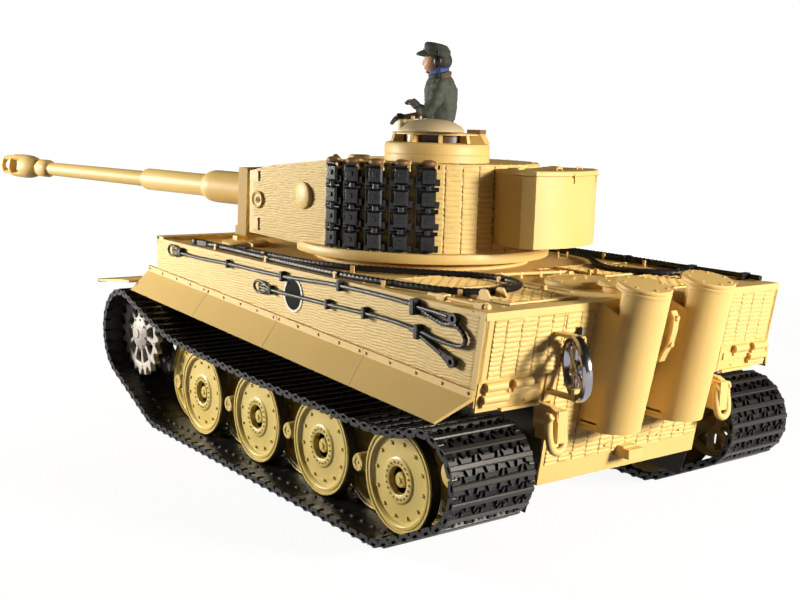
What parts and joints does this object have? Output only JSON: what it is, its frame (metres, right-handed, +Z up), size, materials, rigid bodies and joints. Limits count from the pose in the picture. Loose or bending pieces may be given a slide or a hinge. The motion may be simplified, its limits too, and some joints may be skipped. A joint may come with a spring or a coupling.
{
  "type": "radio-controlled model tank",
  "caption": "Radio-controlled scale heavy tank with turning turret, raising and recoiling gun, sprung road wheels and driven sprockets",
  "frame": {"origin": "bottom centre of the bounding box of the whole tank at rest, on the ground under the tracks, turret turned 21 degrees left as stored", "axes": "+X towards the nose of the hull, +Y towards its left side, +Z up"},
  "size_m": [0.5272, 0.2454, 0.2307],
  "materials": {
    "paint": "sand yellow paint on moulded plastic",
    "black": "black moulded plastic, slightly shiny",
    "chrome_plastic": "silver metal",
    "dark_plastic": "dark grey moulded plastic",
    "board": "green circuit board",
    "cell": "blue shrink wrap",
    "figure": "painted figure, dark uniform"
  },
  "bodies": {
    "hull": {"lower_hull": "paint", "upper_hull": "paint", "skirt_left": "paint", "skirt_right": "paint", "exhaust_left": "paint", "exhaust_right": "paint", "track_left": "black", "track_right": "black", "tow_cable_left": "black", "tow_cable_right": "black", "side_cable": "black", "battery_pack": "cell", "control_board": "board", "drive_gearbox_left": "dark_plastic", "drive_gearbox_right": "dark_plastic"},
    "turret": {"turret_shell": "paint", "stowage_bin": "paint", "cupola": "paint", "commander_figure": "figure", "spare_links": "black"},
    "mantlet": {"mantlet": "paint"},
    "barrel": {"gun_barrel": "paint"},
    "cupola_lid": {"cupola_hatch": "paint"},
    "roof_hatch": {"loader_hatch": "paint"},
    "sprocket_left": {"drive_sprocket_left": "chrome_plastic"},
    "idler_left": {"idler_left": "paint"},
    "arm_left_1": {"swing_arm_left_1": "dark_plastic"},
    "wheel_left_1": {"road_wheel_left_1": "paint"},
    "arm_left_2": {"swing_arm_left_2": "dark_plastic"},
    "wheel_left_2": {"road_wheel_left_2": "paint"},
    "arm_left_3": {"swing_arm_left_3": "dark_plastic"},
    "wheel_left_3": {"road_wheel_left_3": "paint"},
    "arm_left_4": {"swing_arm_left_4": "dark_plastic"},
    "wheel_left_4": {"road_wheel_left_4": "paint"},
    "arm_left_5": {"swing_arm_left_5": "dark_plastic"},
    "wheel_left_5": {"road_wheel_left_5": "paint"},
    "arm_left_6": {"swing_arm_left_6": "dark_plastic"},
    "wheel_left_6": {"road_wheel_left_6": "paint"},
    "arm_left_7": {"swing_arm_left_7": "dark_plastic"},
    "wheel_left_7": {"road_wheel_left_7": "paint"},
    "arm_left_8": {"swing_arm_left_8": "dark_plastic"},
    "wheel_left_8": {"road_wheel_left_8": "paint"},
    "sprocket_right": {"drive_sprocket_right": "chrome_plastic"},
    "idler_right": {"idler_right": "paint"},
    "arm_right_1": {"swing_arm_right_1": "dark_plastic"},
    "wheel_right_1": {"road_wheel_right_1": "paint"},
    "arm_right_2": {"swing_arm_right_2": "dark_plastic"},
    "wheel_right_2": {"road_wheel_right_2": "paint"},
    "arm_right_3": {"swing_arm_right_3": "dark_plastic"},
    "wheel_right_3": {"road_wheel_right_3": "paint"},
    "arm_right_4": {"swing_arm_right_4": "dark_plastic"},
    "wheel_right_4": {"road_wheel_right_4": "paint"},
    "arm_right_5": {"swing_arm_right_5": "dark_plastic"},
    "wheel_right_5": {"road_wheel_right_5": "paint"},
    "arm_right_6": {"swing_arm_right_6": "dark_plastic"},
    "wheel_right_6": {"road_wheel_right_6": "paint"},
    "arm_right_7": {"swing_arm_right_7": "dark_plastic"},
    "wheel_right_7": {"road_wheel_right_7": "paint"},
    "arm_right_8": {"swing_arm_right_8": "dark_plastic"},
    "wheel_right_8": {"road_wheel_right_8": "paint"}
  },
  "joints": [
    {"name": "turret_traverse", "type": "hinge", "parent": "hull", "child": "turret", "pos_m": [-0.06889, -0.01017, 0.1126], "axis": [0, 0, 1], "range_deg": [-181, 139]},
    {"name": "gun_elevation", "type": "hinge", "parent": "turret", "child": "mantlet", "pos_m": [0.00673, 0.01886, 0.1424], "axis": [0.3584, -0.9336, 0], "range_deg": [-6, 9]},
    {"name": "gun_recoil", "type": "slide", "parent": "mantlet", "child": "barrel", "axis": [0.9333, 0.3583, 0.025], "range_m": [-0.01, 0], "stiffness_N_per_m": 60, "springref_m": 0.003},
    {"name": "cupola_lid_swing", "type": "hinge", "parent": "turret", "child": "cupola_lid", "pos_m": [-0.09806, 0.02743, 0.184], "axis": [0, 0, 1], "range_deg": [-60, 0]},
    {"name": "roof_hatch_hinge", "type": "hinge", "parent": "turret", "child": "roof_hatch", "pos_m": [-0.0622, -0.04295, 0.1694], "axis": [0.3584, -0.9336, 0], "range_deg": [0, 100]},
    {"name": "sprocket_spin_left", "type": "hinge", "parent": "hull", "child": "sprocket_left", "pos_m": [0.09311, 0.07783, 0.05], "axis": [0, 1, 0], "continuous": true},
    {"name": "idler_spin_left", "type": "hinge", "parent": "hull", "child": "idler_left", "pos_m": [-0.21519, 0.07383, 0.0399], "axis": [0, 1, 0], "continuous": true},
    {"name": "arm_swing_left_1", "type": "hinge", "parent": "hull", "child": "arm_left_1", "pos_m": [0.06811, 0.04683, 0.0349], "axis": [0, 1, 0], "range_deg": [0, 2.2], "stiffness_Nm_per_rad": 0.1, "springref_deg": -1.15},
    {"name": "wheel_spin_left_1", "type": "hinge", "parent": "arm_left_1", "child": "wheel_left_1", "pos_m": [0.04411, 0.06983, 0.0279], "axis": [0, 1, 0], "continuous": true},
    {"name": "arm_swing_left_2", "type": "hinge", "parent": "hull", "child": "arm_left_2", "pos_m": [0.03611, 0.04683, 0.0349], "axis": [0, 1, 0], "range_deg": [0, 2.2], "stiffness_Nm_per_rad": 0.1, "springref_deg": -1.15},
    {"name": "wheel_spin_left_2", "type": "hinge", "parent": "arm_left_2", "child": "wheel_left_2", "pos_m": [0.01211, 0.06983, 0.0279], "axis": [0, 1, 0], "continuous": true},
    {"name": "arm_swing_left_3", "type": "hinge", "parent": "hull", "child": "arm_left_3", "pos_m": [0.00411, 0.04683, 0.0349], "axis": [0, 1, 0], "range_deg": [0, 2.2], "stiffness_Nm_per_rad": 0.1, "springref_deg": -1.15},
    {"name": "wheel_spin_left_3", "type": "hinge", "parent": "arm_left_3", "child": "wheel_left_3", "pos_m": [-0.01989, 0.06983, 0.0279], "axis": [0, 1, 0], "continuous": true},
    {"name": "arm_swing_left_4", "type": "hinge", "parent": "hull", "child": "arm_left_4", "pos_m": [-0.02789, 0.04683, 0.0349], "axis": [0, 1, 0], "range_deg": [0, 2.2], "stiffness_Nm_per_rad": 0.1, "springref_deg": -1.15},
    {"name": "wheel_spin_left_4", "type": "hinge", "parent": "arm_left_4", "child": "wheel_left_4", "pos_m": [-0.05189, 0.06983, 0.0279], "axis": [0, 1, 0], "continuous": true},
    {"name": "arm_swing_left_5", "type": "hinge", "parent": "hull", "child": "arm_left_5", "pos_m": [-0.05989, 0.04683, 0.0349], "axis": [0, 1, 0], "range_deg": [0, 2.2], "stiffness_Nm_per_rad": 0.1, "springref_deg": -1.15},
    {"name": "wheel_spin_left_5", "type": "hinge", "parent": "arm_left_5", "child": "wheel_left_5", "pos_m": [-0.08389, 0.06983, 0.0279], "axis": [0, 1, 0], "continuous": true},
    {"name": "arm_swing_left_6", "type": "hinge", "parent": "hull", "child": "arm_left_6", "pos_m": [-0.09189, 0.04683, 0.0349], "axis": [0, 1, 0], "range_deg": [0, 2.2], "stiffness_Nm_per_rad": 0.1, "springref_deg": -1.15},
    {"name": "wheel_spin_left_6", "type": "hinge", "parent": "arm_left_6", "child": "wheel_left_6", "pos_m": [-0.11589, 0.06983, 0.0279], "axis": [0, 1, 0], "continuous": true},
    {"name": "arm_swing_left_7", "type": "hinge", "parent": "hull", "child": "arm_left_7", "pos_m": [-0.12389, 0.04683, 0.0349], "axis": [0, 1, 0], "range_deg": [0, 2.2], "stiffness_Nm_per_rad": 0.1, "springref_deg": -1.15},
    {"name": "wheel_spin_left_7", "type": "hinge", "parent": "arm_left_7", "child": "wheel_left_7", "pos_m": [-0.14789, 0.06983, 0.0279], "axis": [0, 1, 0], "continuous": true},
    {"name": "arm_swing_left_8", "type": "hinge", "parent": "hull", "child": "arm_left_8", "pos_m": [-0.15589, 0.04683, 0.0349], "axis": [0, 1, 0], "range_deg": [0, 2.2], "stiffness_Nm_per_rad": 0.1, "springref_deg": -1.15},
    {"name": "wheel_spin_left_8", "type": "hinge", "parent": "arm_left_8", "child": "wheel_left_8", "pos_m": [-0.17989, 0.06983, 0.0279], "axis": [0, 1, 0], "continuous": true},
    {"name": "sprocket_spin_right", "type": "hinge", "parent": "hull", "child": "sprocket_right", "pos_m": [0.09311, -0.09817, 0.05], "axis": [0, 1, 0], "continuous": true},
    {"name": "idler_spin_right", "type": "hinge", "parent": "hull", "child": "idler_right", "pos_m": [-0.21519, -0.09417, 0.0399], "axis": [0, 1, 0], "continuous": true},
    {"name": "arm_swing_right_1", "type": "hinge", "parent": "hull", "child": "arm_right_1", "pos_m": [0.06811, -0.06717, 0.0349], "axis": [0, 1, 0], "range_deg": [0, 2.2], "stiffness_Nm_per_rad": 0.1, "springref_deg": -1.15},
    {"name": "wheel_spin_right_1", "type": "hinge", "parent": "arm_right_1", "child": "wheel_right_1", "pos_m": [0.04411, -0.09017, 0.0279], "axis": [0, 1, 0], "continuous": true},
    {"name": "arm_swing_right_2", "type": "hinge", "parent": "hull", "child": "arm_right_2", "pos_m": [0.03611, -0.06717, 0.0349], "axis": [0, 1, 0], "range_deg": [0, 2.2], "stiffness_Nm_per_rad": 0.1, "springref_deg": -1.15},
    {"name": "wheel_spin_right_2", "type": "hinge", "parent": "arm_right_2", "child": "wheel_right_2", "pos_m": [0.01211, -0.09017, 0.0279], "axis": [0, 1, 0], "continuous": true},
    {"name": "arm_swing_right_3", "type": "hinge", "parent": "hull", "child": "arm_right_3", "pos_m": [0.00411, -0.06717, 0.0349], "axis": [0, 1, 0], "range_deg": [0, 2.2], "stiffness_Nm_per_rad": 0.1, "springref_deg": -1.15},
    {"name": "wheel_spin_right_3", "type": "hinge", "parent": "arm_right_3", "child": "wheel_right_3", "pos_m": [-0.01989, -0.09017, 0.0279], "axis": [0, 1, 0], "continuous": true},
    {"name": "arm_swing_right_4", "type": "hinge", "parent": "hull", "child": "arm_right_4", "pos_m": [-0.02789, -0.06717, 0.0349], "axis": [0, 1, 0], "range_deg": [0, 2.2], "stiffness_Nm_per_rad": 0.1, "springref_deg": -1.15},
    {"name": "wheel_spin_right_4", "type": "hinge", "parent": "arm_right_4", "child": "wheel_right_4", "pos_m": [-0.05189, -0.09017, 0.0279], "axis": [0, 1, 0], "continuous": true},
    {"name": "arm_swing_right_5", "type": "hinge", "parent": "hull", "child": "arm_right_5", "pos_m": [-0.05989, -0.06717, 0.0349], "axis": [0, 1, 0], "range_deg": [0, 2.2], "stiffness_Nm_per_rad": 0.1, "springref_deg": -1.15},
    {"name": "wheel_spin_right_5", "type": "hinge", "parent": "arm_right_5", "child": "wheel_right_5", "pos_m": [-0.08389, -0.09017, 0.0279], "axis": [0, 1, 0], "continuous": true},
    {"name": "arm_swing_right_6", "type": "hinge", "parent": "hull", "child": "arm_right_6", "pos_m": [-0.09189, -0.06717, 0.0349], "axis": [0, 1, 0], "range_deg": [0, 2.2], "stiffness_Nm_per_rad": 0.1, "springref_deg": -1.15},
    {"name": "wheel_spin_right_6", "type": "hinge", "parent": "arm_right_6", "child": "wheel_right_6", "pos_m": [-0.11589, -0.09017, 0.0279], "axis": [0, 1, 0], "continuous": true},
    {"name": "arm_swing_right_7", "type": "hinge", "parent": "hull", "child": "arm_right_7", "pos_m": [-0.12389, -0.06717, 0.0349], "axis": [0, 1, 0], "range_deg": [0, 2.2], "stiffness_Nm_per_rad": 0.1, "springref_deg": -1.15},
    {"name": "wheel_spin_right_7", "type": "hinge", "parent": "arm_right_7", "child": "wheel_right_7", "pos_m": [-0.14789, -0.09017, 0.0279], "axis": [0, 1, 0], "continuous": true},
    {"name": "arm_swing_right_8", "type": "hinge", "parent": "hull", "child": "arm_right_8", "pos_m": [-0.15589, -0.06717, 0.0349], "axis": [0, 1, 0], "range_deg": [0, 2.2], "stiffness_Nm_per_rad": 0.1, "springref_deg": -1.15},
    {"name": "wheel_spin_right_8", "type": "hinge", "parent": "arm_right_8", "child": "wheel_right_8", "pos_m": [-0.17989, -0.09017, 0.0279], "axis": [0, 1, 0], "continuous": true}
  ],
  "couplings": [
    {"joint": "idler_spin_left", "follows": "sprocket_spin_left", "ratio": 1.2093},
    {"joint": "wheel_spin_left_1", "follows": "sprocket_spin_left", "ratio": 1.0442},
    {"joint": "wheel_spin_left_2", "follows": "sprocket_spin_left", "ratio": 1.0442},
    {"joint": "wheel_spin_left_3", "follows": "sprocket_spin_left", "ratio": 1.0442},
    {"joint": "wheel_spin_left_4", "follows": "sprocket_spin_left", "ratio": 1.0442},
    {"joint": "wheel_spin_left_5", "follows": "sprocket_spin_left", "ratio": 1.0442},
    {"joint": "wheel_spin_left_6", "follows": "sprocket_spin_left", "ratio": 1.0442},
    {"joint": "wheel_spin_left_7", "follows": "sprocket_spin_left", "ratio": 1.0442},
    {"joint": "wheel_spin_left_8", "follows": "sprocket_spin_left", "ratio": 1.0442},
    {"joint": "idler_spin_right", "follows": "sprocket_spin_right", "ratio": 1.2093},
    {"joint": "wheel_spin_right_1", "follows": "sprocket_spin_right", "ratio": 1.0442},
    {"joint": "wheel_spin_right_2", "follows": "sprocket_spin_right", "ratio": 1.0442},
    {"joint": "wheel_spin_right_3", "follows": "sprocket_spin_right", "ratio": 1.0442},
    {"joint": "wheel_spin_right_4", "follows": "sprocket_spin_right", "ratio": 1.0442},
    {"joint": "wheel_spin_right_5", "follows": "sprocket_spin_right", "ratio": 1.0442},
    {"joint": "wheel_spin_right_6", "follows": "sprocket_spin_right", "ratio": 1.0442},
    {"joint": "wheel_spin_right_7", "follows": "sprocket_spin_right", "ratio": 1.0442},
    {"joint": "wheel_spin_right_8", "follows": "sprocket_spin_right", "ratio": 1.0442}
  ]
}
